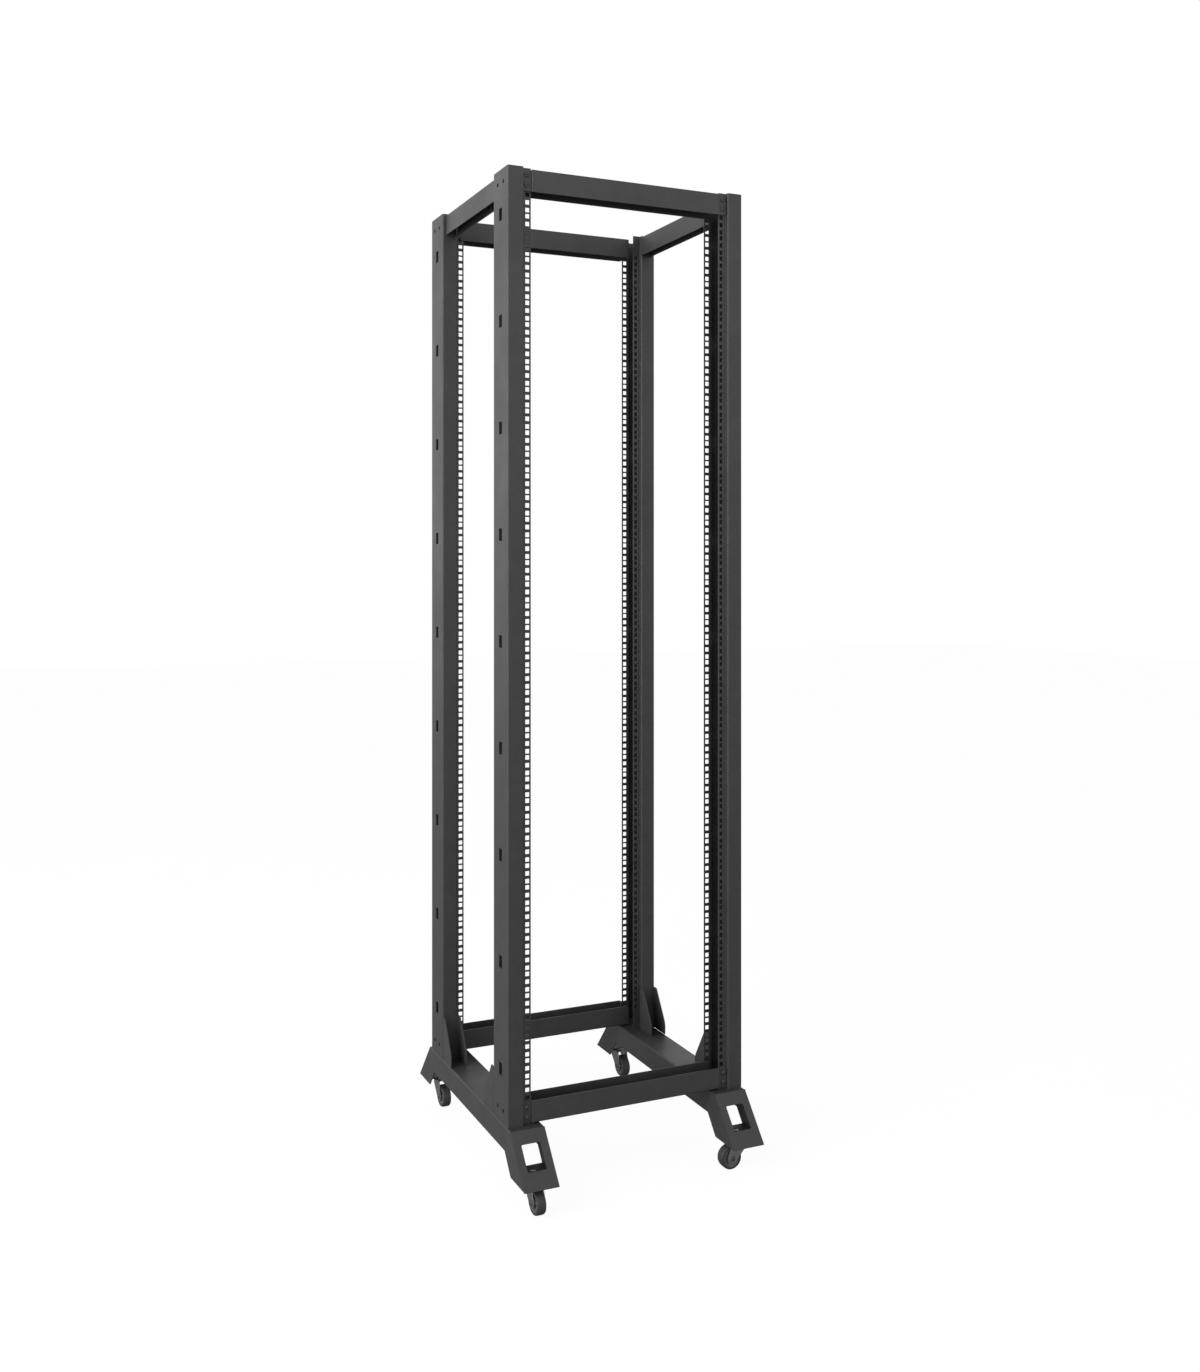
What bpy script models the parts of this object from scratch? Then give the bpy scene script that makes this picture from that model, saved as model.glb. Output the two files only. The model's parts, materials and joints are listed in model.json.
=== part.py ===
"""Open four-post 19-inch equipment rack, 42 units high, on four swivel casters.

Metres, +Z up. X runs left to right, Y runs front (-) to back (+).
The origin is on the floor, in the middle between the four casters.
Every dimension below is in millimetres and is turned to metres by MM.
"""

import math

import bmesh
import bpy
from mathutils import Matrix, Vector

MM = 0.001

# ------------------------------------------------------------------ shared dimensions
GAP = 0.3  # between pieces that touch
OVERCUT = 10.0  # how far a cutter runs past an open side
HOLE_CUT = 6.0  # length of the cutters for holes through folded sheet

FRAME_WIDTH = 560.0  # over the outer faces of the posts
FRAME_DEPTH = 460.0  # over the front and rear faces of the posts
OPENING = 450.0  # clear width between the mounting flanges

BEAM_TOP = 150.0
BEAM_WIDTH = 77.0
BEAM_CENTRE = FRAME_WIDTH / 2 - BEAM_WIDTH / 2  # X of a base beam's middle

POST_HEIGHT = 1962.0
POST_DEPTH = 76.0
POST_FACE = 36.0  # width of the plain face beside the mounting flange
POST_SHEET = 2.0
FLANGE_SETBACK = 8.0  # mounting flange behind the plain face
POST_BOTTOM = BEAM_TOP + GAP
POST_TOP = POST_BOTTOM + POST_HEIGHT
POST_ENDS = ((POST_BOTTOM, 1), (POST_TOP, -1))  # height, direction into the post

RAIL_HEIGHT = 46.0
RAIL_WALL = 2.0
RAIL_END_GAP = 3.0  # rail below the top of the posts, and above their bottom

BOLT_X = 235.5  # rail bolts, either side of the middle
BOLT_FROM_END = (15.0, 35.0)  # rail bolts, from each end of a post
BOLT_HOLE_RADIUS = 3.5

# corner: side in X, side in Y, direction its caster trails in (degrees from +X)
CORNERS = {
    "front_left": (-1, -1, -90.0),
    "front_right": (1, -1, 180.0),
    "rear_left": (-1, 1, -90.0),
    "rear_right": (1, 1, -90.0),
}

# finish: colour, roughness, metallic
FINISHES = {
    "coat": ((0.046, 0.046, 0.048), 0.55, 0.0),
    "coat_dark": ((0.030, 0.030, 0.032), 0.55, 0.0),
    "bolt": ((0.075, 0.075, 0.078), 0.38, 0.9),
    "steel": ((0.33, 0.33, 0.34), 0.34, 1.0),
    "fork": ((0.12, 0.12, 0.125), 0.42, 0.8),
    "rim": ((0.085, 0.085, 0.088), 0.5, 0.0),
    "tyre": ((0.022, 0.022, 0.023), 0.75, 0.0),
}

# a local (x, y) outline stood up as (Y, Z), its thickness along X
STAND_YZ = Matrix(((0, 0, 1, 0), (1, 0, 0, 0), (0, 1, 0, 0), (0, 0, 0, 1)))
# a local (x, y) outline stood up as (X, Z), its thickness along Y
STAND_XZ = Matrix(((1, 0, 0, 0), (0, 0, -1, 0), (0, 1, 0, 0), (0, 0, 0, 1)))

# ------------------------------------------------------------------ scene
for old in list(bpy.data.objects):
    bpy.data.objects.remove(old, do_unlink=True)

RACK = bpy.data.collections.new("open_frame_rack")
CUTTERS = bpy.data.collections.new("cutters")
bpy.context.scene.collection.children.link(RACK)
bpy.context.scene.collection.children.link(CUTTERS)


# ------------------------------------------------------------------ helpers
def material(name, colour, roughness, metallic):
    made = bpy.data.materials.new(name)
    made.use_nodes = True
    shader = made.node_tree.nodes["Principled BSDF"]
    shader.inputs["Base Color"].default_value = (*colour, 1.0)
    shader.inputs["Roughness"].default_value = roughness
    shader.inputs["Metallic"].default_value = metallic
    made.diffuse_color = (*colour, 1.0)
    return made


def add_piece(name, mesh, finish, matrix=None):
    """A piece of the rack with its own material."""
    piece = bpy.data.objects.new(name, mesh)
    RACK.objects.link(piece)
    if matrix is not None:
        piece.matrix_world = matrix
    colour, roughness, metallic = FINISHES[finish]
    mesh.materials.clear()
    mesh.materials.append(
        material(f"{name}_finish", colour=colour, roughness=roughness, metallic=metallic)
    )
    return piece


def combine(piece, bm, label, operation="DIFFERENCE"):
    """Cuts the shapes in bm from a piece, or joins them to it, and returns their helper."""
    name = f"{piece.name}_{label}"
    helper = bpy.data.objects.new(name, from_bmesh(bm, name))
    CUTTERS.objects.link(helper)
    helper.hide_render = True
    helper.display_type = "WIRE"
    modifier = piece.modifiers.new(label, "BOOLEAN")
    modifier.operation = operation
    modifier.solver = "EXACT"
    modifier.object = helper
    return helper


def shift(x, y, z):
    return Matrix.Translation(Vector((x, y, z)) * MM)


def sided(side, first, second):
    """Two distances from the middle as ordered coordinates on one side (-1 or 1)."""
    return sorted((side * first, side * second))


def from_bmesh(bm, name):
    bmesh.ops.recalc_face_normals(bm, faces=bm.faces)
    mesh = bpy.data.meshes.new(name)
    bm.to_mesh(mesh)
    bm.free()
    return mesh


def box_into(bm, low, high):
    """A box between two corners."""
    low, high = Vector(low) * MM, Vector(high) * MM
    size = high - low
    place = Matrix.Translation((low + high) / 2) @ Matrix.Diagonal((*size, 1.0))
    bmesh.ops.create_cube(bm, size=1.0, matrix=place)


def rod_into(bm, centre, axis, radius, length, segments):
    """A round rod, its middle at centre, along axis."""
    turn = Vector((0, 0, 1)).rotation_difference(Vector(axis)).to_matrix().to_4x4()
    bmesh.ops.create_cone(
        bm,
        cap_ends=True,
        segments=segments,
        radius1=radius * MM,
        radius2=radius * MM,
        depth=length * MM,
        matrix=Matrix.Translation(Vector(centre) * MM) @ turn,
    )


def sheet_hole_into(bm, centre, axis, radius):
    """A round cutter through folded sheet."""
    rod_into(bm, centre, axis, radius, length=HOLE_CUT, segments=10)


def box_mesh(name, low, high):
    bm = bmesh.new()
    box_into(bm, low, high)
    return from_bmesh(bm, name)


def outline_mesh(name, outline, thickness):
    """A flat closed outline made thick, half to each side of its own plane."""
    curve = bpy.data.curves.new(f"{name}_outline", "CURVE")
    curve.dimensions = "2D"
    curve.fill_mode = "BOTH"
    curve.extrude = thickness * MM / 2
    spline = curve.splines.new("POLY")
    spline.points.add(len(outline) - 1)
    for point, (x, y) in zip(spline.points, outline):
        point.co = (x * MM, y * MM, 0.0, 1.0)
    spline.use_cyclic_u = True
    guide = bpy.data.objects.new(f"{name}_outline", curve)
    CUTTERS.objects.link(guide)
    bpy.context.view_layer.update()
    graph = bpy.context.evaluated_depsgraph_get()
    filled = bpy.data.meshes.new_from_object(guide.evaluated_get(graph))
    bpy.data.objects.remove(guide, do_unlink=True)

    # the fill and its sides come as separate faces, so weld them
    bm = bmesh.new()
    bm.from_mesh(filled)
    bmesh.ops.remove_doubles(bm, verts=bm.verts, dist=1e-6)
    bmesh.ops.recalc_face_normals(bm, faces=bm.faces)
    bm.to_mesh(filled)
    bm.free()
    filled.name = name
    return filled


def turned(name, profile, finish, steps, matrix=None, closed=False):
    """A solid of revolution about its local Z, from a profile of (radius, height)."""
    bm = bmesh.new()
    verts = [bm.verts.new((radius * MM, 0.0, height * MM)) for radius, height in profile]
    for start, end in zip(verts, verts[1:]):
        bm.edges.new((start, end))
    if closed:
        bm.edges.new((verts[-1], verts[0]))
    mesh = bpy.data.meshes.new(name)
    bm.to_mesh(mesh)
    bm.free()
    piece = add_piece(name, mesh, finish, matrix)
    screw = piece.modifiers.new("turn", "SCREW")
    screw.steps = steps
    screw.render_steps = steps
    screw.use_merge_vertices = True
    screw.merge_threshold = 0.00001
    screw.use_smooth_shade = False
    return piece


def with_mirror(half_profile):
    """A profile from its upper half, followed by the same points below height 0."""
    return half_profile + [(radius, -height) for radius, height in reversed(half_profile)]


# ------------------------------------------------------------------ posts
RACK_UNITS = 42
UNIT = 44.45  # height of one rack unit
UNIT_HOLE_FROM_END = 6.35  # outer square holes, from each end of a unit
UNIT_HOLES = (UNIT_HOLE_FROM_END, UNIT / 2, UNIT - UNIT_HOLE_FROM_END)
HOLE_CENTRES = 465.1  # between the left and the right hole line
SQUARE_HOLE = 9.5

SLOT_PITCH = 220.0  # slots along the outer web of a post
SLOT_COUNT = 9
SLOT_FROM_TOP = 92.0  # highest slot below the top of the post
SLOT_WIDTH, SLOT_HEIGHT = 16.0, 26.0

WEB_HOLE_RADIUS = 4.5
WEB_HOLE_FROM_END = 28.0
WEB_HOLE_INSETS = (23.0, 53.0)  # web holes, behind the face of a post


def post_section(side_x, side_y):
    """Cross-section of the folded post: a web, two faces, two stepped mounting flanges."""
    sheet, depth, face, step = POST_SHEET, POST_DEPTH, POST_FACE, FLANGE_SETBACK
    reach = (FRAME_WIDTH - OPENING) / 2
    # distance in from the outer web, distance in from the front or rear face
    points = [
        (0, 0), (face, 0), (face, step), (reach, step),
        (reach, step + sheet), (face - sheet, step + sheet),
        (face - sheet, sheet), (sheet, sheet),
        (sheet, depth - sheet), (face - sheet, depth - sheet),
        (face - sheet, depth - step - sheet), (reach, depth - step - sheet),
        (reach, depth - step), (face, depth - step), (face, depth), (0, depth),
    ]
    return [
        (side_x * (FRAME_WIDTH / 2 - inset_x), side_y * (FRAME_DEPTH / 2 - inset_y))
        for inset_x, inset_y in points
    ]


def unit_hole_heights():
    """Heights of the square holes, with the units centred between the rails."""
    clear_low = POST_BOTTOM + RAIL_END_GAP + RAIL_HEIGHT
    clear_high = POST_TOP - RAIL_END_GAP - RAIL_HEIGHT
    start = (clear_low + clear_high - RACK_UNITS * UNIT) / 2
    return [start + unit * UNIT + hole for unit in range(RACK_UNITS) for hole in UNIT_HOLES]


def make_post(name, side_x, side_y):
    mesh = outline_mesh(name, post_section(side_x, side_y), POST_HEIGHT)
    post = add_piece(name, mesh, "coat", shift(0, 0, POST_BOTTOM + POST_HEIGHT / 2))
    web_x = side_x * (FRAME_WIDTH / 2 - POST_SHEET / 2)
    centre_y = side_y * (FRAME_DEPTH / 2 - POST_DEPTH / 2)
    flange_y = side_y * (FRAME_DEPTH / 2 - FLANGE_SETBACK - POST_SHEET / 2)
    cut_half = HOLE_CUT / 2
    holes = bmesh.new()

    for i in range(SLOT_COUNT):
        z = POST_TOP - SLOT_FROM_TOP - i * SLOT_PITCH
        box_into(
            holes,
            (web_x - cut_half, centre_y - SLOT_WIDTH / 2, z - SLOT_HEIGHT / 2),
            (web_x + cut_half, centre_y + SLOT_WIDTH / 2, z + SLOT_HEIGHT / 2),
        )

    for end, inward in POST_ENDS:
        for inset in WEB_HOLE_INSETS:
            centre = (web_x, side_y * (FRAME_DEPTH / 2 - inset), end + inward * WEB_HOLE_FROM_END)
            sheet_hole_into(holes, centre, (1, 0, 0), WEB_HOLE_RADIUS)
        for offset in BOLT_FROM_END:
            centre = (side_x * BOLT_X, flange_y, end + inward * offset)
            sheet_hole_into(holes, centre, (0, 1, 0), BOLT_HOLE_RADIUS)

    # square holes go through the outward flange only
    hole_x = side_x * HOLE_CENTRES / 2
    half = SQUARE_HOLE / 2
    for z in unit_hole_heights():
        box_into(
            holes,
            (hole_x - half, flange_y - cut_half, z - half),
            (hole_x + half, flange_y + cut_half, z + half),
        )
    combine(post, holes, "holes")


# ------------------------------------------------------------------ rails
RAIL_DEPTH = 45.0
RAIL_HALF = 224.5  # half the length of a cross rail between its end tabs
RAIL_SETBACK = 1.0  # rail face behind the plain faces of the posts
TAB_INSET = 1.0  # end tabs lower than the rail, on both edges
TAB_OVERLAP = 0.6  # tab neck short of the rail end, so that the two fuse
TAB_RECESS = 1.0  # inner end of the tab neck behind the rail face
TAB_SEAT = FRAME_DEPTH / 2 - FLANGE_SETBACK + GAP  # back of the tab, just off the flange
TAB_FACE = TAB_SEAT + RAIL_WALL

SIDE_RAIL_WIDTH = 30.0
SIDE_RAIL_RECESS = 8.0  # behind the outer webs of the posts
SIDE_RAIL_LENGTH = FRAME_DEPTH - 2 * POST_DEPTH - 2 * GAP


def channel(name, low, high, web_on_top):
    """A folded channel along X or Y: two walls and a web, open at both ends."""
    rail = add_piece(name, box_mesh(name, low, high), "coat")
    long_axis = 0 if high[0] - low[0] > high[1] - low[1] else 1
    insets = [RAIL_WALL, RAIL_WALL]
    insets[long_axis] = -OVERCUT
    low_insets = (*insets, -OVERCUT if web_on_top else RAIL_WALL)
    high_insets = (*insets, RAIL_WALL if web_on_top else -OVERCUT)
    inside = bmesh.new()
    box_into(
        inside,
        [edge + inset for edge, inset in zip(low, low_insets)],
        [edge - inset for edge, inset in zip(high, high_insets)],
    )
    combine(rail, inside, "inside")
    return rail


def rail_tabs(side_y, low_z, high_z):
    """The joggled tabs at both ends of a cross rail."""
    outer = FRAME_DEPTH / 2 - RAIL_SETBACK
    tip = FRAME_WIDTH / 2 - POST_FACE - GAP
    neck = RAIL_HALF - TAB_OVERLAP
    outline = [
        (neck - RAIL_WALL, outer - TAB_RECESS), (neck, outer - TAB_RECESS), (neck, TAB_FACE),
        (tip, TAB_FACE), (tip, TAB_SEAT), (neck - RAIL_WALL, TAB_SEAT),
    ]
    tabs = bmesh.new()
    for side_x in (-1, 1):
        lower, upper = [
            [tabs.verts.new((side_x * x * MM, side_y * y * MM, z * MM)) for x, y in outline]
            for z in (low_z + TAB_INSET, high_z - TAB_INSET)
        ]
        tabs.faces.new(lower)
        tabs.faces.new(list(reversed(upper)))
        for i in range(len(outline)):
            j = (i + 1) % len(outline)
            tabs.faces.new((lower[j], lower[i], upper[i], upper[j]))
    return tabs


def make_cross_rail(name, side_y, at_top):
    """A front or rear rail: a channel with an end tab on each mounting flange."""
    outer = FRAME_DEPTH / 2 - RAIL_SETBACK
    y0, y1 = sided(side_y, outer, outer - RAIL_DEPTH)
    end, inward = POST_ENDS[1 if at_top else 0]
    z0, z1 = sorted(
        (end + inward * RAIL_END_GAP, end + inward * (RAIL_END_GAP + RAIL_HEIGHT))
    )
    rail = channel(name, (-RAIL_HALF, y0, z0), (RAIL_HALF, y1, z1), at_top)
    combine(rail, rail_tabs(side_y, z0, z1), "tabs", "UNION")

    holes = bmesh.new()
    for side_x in (-1, 1):
        for offset in BOLT_FROM_END:
            centre = (side_x * BOLT_X, side_y * (TAB_SEAT + RAIL_WALL / 2), end + inward * offset)
            sheet_hole_into(holes, centre, (0, 1, 0), BOLT_HOLE_RADIUS)
    combine(rail, holes, "bolt_holes")


def make_side_rail(name, side_x):
    """A top side rail: a channel between two posts, open below."""
    top = POST_TOP - RAIL_END_GAP
    outer = FRAME_WIDTH / 2 - SIDE_RAIL_RECESS
    x0, x1 = sided(side_x, outer, outer - SIDE_RAIL_WIDTH)
    half = SIDE_RAIL_LENGTH / 2
    channel(name, (x0, -half, top - RAIL_HEIGHT), (x1, half, top), web_on_top=True)


# ------------------------------------------------------------------ base
BEAM_SHEET = 2.5
BEAM_DROP = 50.0  # wall height between the feet
FOOT_TOP_Y = 242.0  # where the sloped foot plate leaves the web
FOOT_TIP_Y = 315.0
FOOT_RUN = FOOT_TIP_Y - FOOT_TOP_Y
FOOT_DROP = 91.0  # foot bottom below the web
FOOT_HEEL_Y, FOOT_KNEE_Y = 244.0, 213.0  # inner edge of a foot: its bottom, its top
SLOPE_STRETCH = math.hypot(FOOT_RUN, FOOT_DROP) / FOOT_DROP  # thickness to length along Y
FOOT_SHEET_Y = BEAM_SHEET * SLOPE_STRETCH  # foot plate thickness along Y

WINDOW_WIDTH, WINDOW_LENGTH = 42.0, 53.0
WINDOW_CUT = 24.0  # length of the window cutter through the plate
WINDOW_Z = -FOOT_DROP * 0.465  # middle of the window below the web

CASTER_Y = 270.0  # swivel axes
MOUNT_TOP = BEAM_TOP - 75.0
MOUNT_THICK = 3.0
MOUNT_LOW = MOUNT_TOP - MOUNT_THICK
MOUNT_Y = (240.0, 298.4)  # inner and outer edge
STEM_HOLE_RADIUS = 5.5
STEM_HOLE_CUT = 12.0

GUSSET_WIDTH = 40.0
GUSSET_HEIGHT = 100.0
GUSSET_REACH = 54.0
GUSSET_SHEET = 2.5
GUSSET_TOP_WIDTH = 12.0
GUSSET_TOE_HEIGHT = 22.0  # upright free edge above the beam
GUSSET_CORNER = (3.0, 10.0)  # blunted corner above the toe, along Y and Z


def foot_line(z, inset):
    """Y of the front foot's sloped face at height z from the web, moved inwards along Y."""
    return -(FOOT_TOP_Y + FOOT_RUN * -z / FOOT_DROP) + inset


def make_base_beam(name, side_x):
    """Side beam: a folded channel, open below, whose walls widen into the two feet."""
    seat = FOOT_SHEET_Y + GAP * SLOPE_STRETCH
    front_half = [
        (foot_line(0, seat), 0.0),
        (foot_line(-FOOT_DROP, seat), -FOOT_DROP),
        (-FOOT_HEEL_Y, -FOOT_DROP),
        (-FOOT_KNEE_Y, -BEAM_DROP),
    ]
    outline = front_half + [(-y, z) for y, z in reversed(front_half)]
    centre = side_x * BEAM_CENTRE
    mesh = outline_mesh(name, outline, BEAM_WIDTH)
    beam = add_piece(name, mesh, "coat", shift(centre, 0, BEAM_TOP) @ STAND_YZ)

    half = BEAM_WIDTH / 2 - BEAM_SHEET
    inside = bmesh.new()
    box_into(
        inside,
        (centre - half, -FOOT_TIP_Y - OVERCUT, BEAM_TOP - FOOT_DROP - OVERCUT),
        (centre + half, FOOT_TIP_Y + OVERCUT, BEAM_TOP - BEAM_SHEET),
    )
    combine(beam, inside, "channel")


def make_foot_plate(name, side_x, side_y):
    """Sloped plate that closes a foot, with its rectangular window."""
    outline = [
        (foot_line(0, 0), 0.0),
        (foot_line(-FOOT_DROP, 0), -FOOT_DROP),
        (foot_line(-FOOT_DROP, FOOT_SHEET_Y), -FOOT_DROP),
        (foot_line(0, FOOT_SHEET_Y), 0.0),
    ]
    if side_y > 0:
        outline = [(-y, z) for y, z in reversed(outline)]
    centre = side_x * BEAM_CENTRE
    mesh = outline_mesh(name, outline, BEAM_WIDTH)
    plate = add_piece(name, mesh, "coat", shift(centre, 0, BEAM_TOP) @ STAND_YZ)

    size = Vector((WINDOW_WIDTH, WINDOW_LENGTH, WINDOW_CUT)) * MM
    tilt = math.atan2(FOOT_DROP, FOOT_RUN)
    place = (
        shift(centre, side_y * -foot_line(WINDOW_Z, 0), BEAM_TOP + WINDOW_Z)
        @ Matrix.Rotation(-side_y * tilt, 4, "X")
        @ Matrix.Diagonal((*size, 1.0))
    )
    window = bmesh.new()
    bmesh.ops.create_cube(window, size=1.0, matrix=place)
    combine(plate, window, "window")


def make_mount_plate(name, side_x, side_y):
    """Horizontal plate inside a foot that carries the caster stem."""
    centre = side_x * BEAM_CENTRE
    half = BEAM_WIDTH / 2 - BEAM_SHEET - GAP
    y0, y1 = sided(side_y, *MOUNT_Y)
    mesh = box_mesh(name, (centre - half, y0, MOUNT_LOW), (centre + half, y1, MOUNT_TOP))
    plate = add_piece(name, mesh, "coat_dark")
    hole = bmesh.new()
    rod_into(
        hole,
        (centre, side_y * CASTER_Y, MOUNT_TOP - MOUNT_THICK / 2),
        axis=(0, 0, 1),
        radius=STEM_HOLE_RADIUS,
        length=STEM_HOLE_CUT,
        segments=16,
    )
    combine(plate, hole, "stem_hole")


def make_gusset(name, side_x, side_y):
    """Folded bracket that ties a post to the beam: two side walls and a flange on the post."""
    face = FRAME_DEPTH / 2 - POST_DEPTH - GAP  # just off the post's inner face
    toe = face - GUSSET_REACH
    corner_y, corner_z = GUSSET_CORNER
    outline = [
        (face, 0.0), (face, GUSSET_HEIGHT), (face - GUSSET_TOP_WIDTH, GUSSET_HEIGHT),
        (toe + corner_y, GUSSET_TOE_HEIGHT + corner_z), (toe, GUSSET_TOE_HEIGHT), (toe, 0.0),
    ]
    mesh = outline_mesh(name, [(side_y * y, z) for y, z in outline], GUSSET_WIDTH)
    centre = side_x * (FRAME_WIDTH / 2 - GUSSET_WIDTH / 2)
    gusset = add_piece(name, mesh, "coat", shift(centre, 0, BEAM_TOP + GAP) @ STAND_YZ)

    half = GUSSET_WIDTH / 2 - GUSSET_SHEET
    y0, y1 = sided(side_y, face - GUSSET_SHEET, toe - OVERCUT)
    pocket = bmesh.new()
    box_into(
        pocket,
        (centre - half, y0, BEAM_TOP - OVERCUT),
        (centre + half, y1, BEAM_TOP + GUSSET_HEIGHT + OVERCUT),
    )
    combine(gusset, pocket, "pocket")


# ------------------------------------------------------------------ casters
WHEEL_RADIUS, WHEEL_WIDTH = 25.0, 20.0
RIM_RADIUS = 19.0
RIM_HALF = 9.0  # half the width of the rim under the tyre
HUB_RADIUS, HUB_HALF = 8.0, 10.6  # hub of the rim, and half its length
TRAIL = 20.0  # wheel axle behind the swivel axis
AXLE_RADIUS = 4.0
RUNNING_GAP = 0.1  # between the rim and its axle, all round

STEM_RADIUS = 5.0
CROWN_TOP, CROWN_THICK, CROWN_RADIUS = 63.0, 3.0, 20.5  # fork crown, top above the floor
CROWN_OVERLAP = 0.6  # fork slot into the crown
FORK_INNER, FORK_SHEET = 22.6, 2.5
FORK_WIDTH = FORK_INNER + 2 * FORK_SHEET
FORK_TOP = CROWN_TOP - 1  # legs end inside the crown
FORK_EYE_RADIUS = 11.5  # rounded leg end about the axle
FORK_EYE_ANGLES = (-160, -132, -90, -48, -12, 20)  # degrees from +X


def make_stem(name, side_x, side_y):
    """Stem with its end peened over the mounting plate, and the race below the plate."""
    profile = [
        (0, MOUNT_TOP + 2.2), (5.8, MOUNT_TOP + 2.2), (7.2, MOUNT_TOP + 1.2),
        (7.2, MOUNT_TOP + GAP), (STEM_RADIUS, MOUNT_TOP + GAP),
        (STEM_RADIUS, MOUNT_LOW - GAP), (21, MOUNT_LOW - GAP), (22, MOUNT_LOW - 1.5),
        (22, CROWN_TOP + 2.5), (20.5, CROWN_TOP + 0.8), (0, CROWN_TOP + 0.8),
    ]
    place = shift(side_x * BEAM_CENTRE, side_y * CASTER_Y, 0)
    turned(name, profile, "steel", steps=18, matrix=place)


def make_fork(name, swivel):
    """Crown and two legs that reach back and down to the axle."""
    eye = [
        (
            TRAIL + FORK_EYE_RADIUS * math.cos(math.radians(angle)),
            WHEEL_RADIUS + FORK_EYE_RADIUS * math.sin(math.radians(angle)),
        )
        for angle in FORK_EYE_ANGLES
    ]
    leg = [
        (-13, FORK_TOP), (-13, FORK_TOP - 6), *eye, (24, FORK_TOP - 8), (19, FORK_TOP),
    ]
    mesh = outline_mesh(name, leg, FORK_WIDTH)
    mesh.transform(STAND_XZ)
    fork = add_piece(name, mesh, "fork")
    fork.parent = swivel

    slot = bmesh.new()
    box_into(
        slot,
        (-40, -FORK_INNER / 2, -OVERCUT),
        (60, FORK_INNER / 2, CROWN_TOP - CROWN_THICK + CROWN_OVERLAP),
    )
    combine(fork, slot, "slot").parent = swivel

    bore = bmesh.new()
    rod_into(
        bore,
        (TRAIL, 0, WHEEL_RADIUS),
        axis=(0, 1, 0),
        radius=AXLE_RADIUS + GAP,
        length=FORK_WIDTH + OVERCUT,
        segments=14,
    )
    combine(fork, bore, "axle_holes").parent = swivel

    crown = bmesh.new()
    rod_into(
        crown,
        (0, 0, CROWN_TOP - CROWN_THICK / 2),
        axis=(0, 0, 1),
        radius=CROWN_RADIUS,
        length=CROWN_THICK,
        segments=20,
    )
    combine(fork, crown, "crown", "UNION").parent = swivel


def make_axle(name):
    """Axle across the fork, with a head outside each leg."""
    reach = FORK_WIDTH / 2
    half = [
        (0, reach + 2.6), (4.8, reach + 2.6), (5.6, reach + 1.8),
        (5.6, reach + GAP), (AXLE_RADIUS, reach + GAP),
    ]
    return turned(name, with_mirror(half), "steel", steps=14)


def make_rim(name):
    """Rim dished on both sides, with a hub bored for the axle."""
    half = [
        (HUB_RADIUS, HUB_HALF), (HUB_RADIUS, 8), (14.5, 6.5),
        (16, RIM_HALF), (RIM_RADIUS - GAP, RIM_HALF),
    ]
    bore = AXLE_RADIUS + RUNNING_GAP
    profile = with_mirror(half) + [(bore, -HUB_HALF), (bore, HUB_HALF)]
    return turned(name, profile, "rim", steps=22, closed=True)


def make_tyre(name):
    """Tyre with rounded shoulders."""
    edge = WHEEL_WIDTH / 2
    half = [
        (RIM_RADIUS, edge - 0.6), (WHEEL_RADIUS - 2.5, edge),
        (WHEEL_RADIUS - 0.7, edge - 1.6), (WHEEL_RADIUS, edge - 4),
    ]
    return turned(name, with_mirror(half), "tyre", steps=28, closed=True)


def make_caster(corner, side_x, side_y, heading):
    """A fixed stem, and a swivel that carries fork, axle, rim and tyre along heading."""
    swivel = bpy.data.objects.new(f"caster_swivel_{corner}", None)
    RACK.objects.link(swivel)
    turn = Matrix.Rotation(math.radians(heading), 4, "Z")
    swivel.matrix_world = shift(side_x * BEAM_CENTRE, side_y * CASTER_Y, 0) @ turn
    bpy.context.view_layer.update()

    make_stem(f"caster_stem_{corner}", side_x, side_y)
    make_fork(f"caster_fork_{corner}", swivel)

    # axle, rim and tyre are turned about Z, then laid across the fork
    across = shift(TRAIL, 0, WHEEL_RADIUS) @ Matrix.Rotation(math.radians(-90), 4, "X")
    wheel_parts = (
        make_axle(f"caster_axle_{corner}"),
        make_rim(f"caster_rim_{corner}"),
        make_tyre(f"caster_tyre_{corner}"),
    )
    for part in wheel_parts:
        part.parent = swivel
        part.matrix_local = across


# ------------------------------------------------------------------ rail bolts
BOLT_HEAD_RADIUS, BOLT_HEAD_HEIGHT = 5.0, 3.2
BOLT_CROWN_RADIUS = 3.2  # flat top of the head
BOLT_RIM_HEIGHT = 1.6  # where the head starts to narrow
BOLT_SHANK_RADIUS, BOLT_SHANK_LENGTH = 3.0, 12.0


def make_bolt(name, side_x, side_y, z):
    """Button-head bolt that holds the end tab of a cross rail to a mounting flange."""
    head_top = BOLT_HEAD_HEIGHT + GAP
    profile = [
        (0, head_top), (BOLT_CROWN_RADIUS, head_top),
        (BOLT_HEAD_RADIUS, BOLT_RIM_HEIGHT), (BOLT_HEAD_RADIUS, GAP),
        (BOLT_SHANK_RADIUS, GAP), (BOLT_SHANK_RADIUS, -BOLT_SHANK_LENGTH),
        (0, -BOLT_SHANK_LENGTH),
    ]
    head_outward = Matrix.Rotation(math.radians(-90 * side_y), 4, "X")
    place = shift(side_x * BOLT_X, side_y * TAB_FACE, z) @ head_outward
    turned(name, profile, "bolt", steps=10, matrix=place)


# ------------------------------------------------------------------ build
for level, at_top in (("top", True), ("bottom", False)):
    make_cross_rail(f"{level}_rail_front", -1, at_top)
    make_cross_rail(f"{level}_rail_rear", 1, at_top)

for side_name, side in (("left", -1), ("right", 1)):
    make_side_rail(f"top_rail_{side_name}", side)
    make_base_beam(f"base_beam_{side_name}", side)

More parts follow.
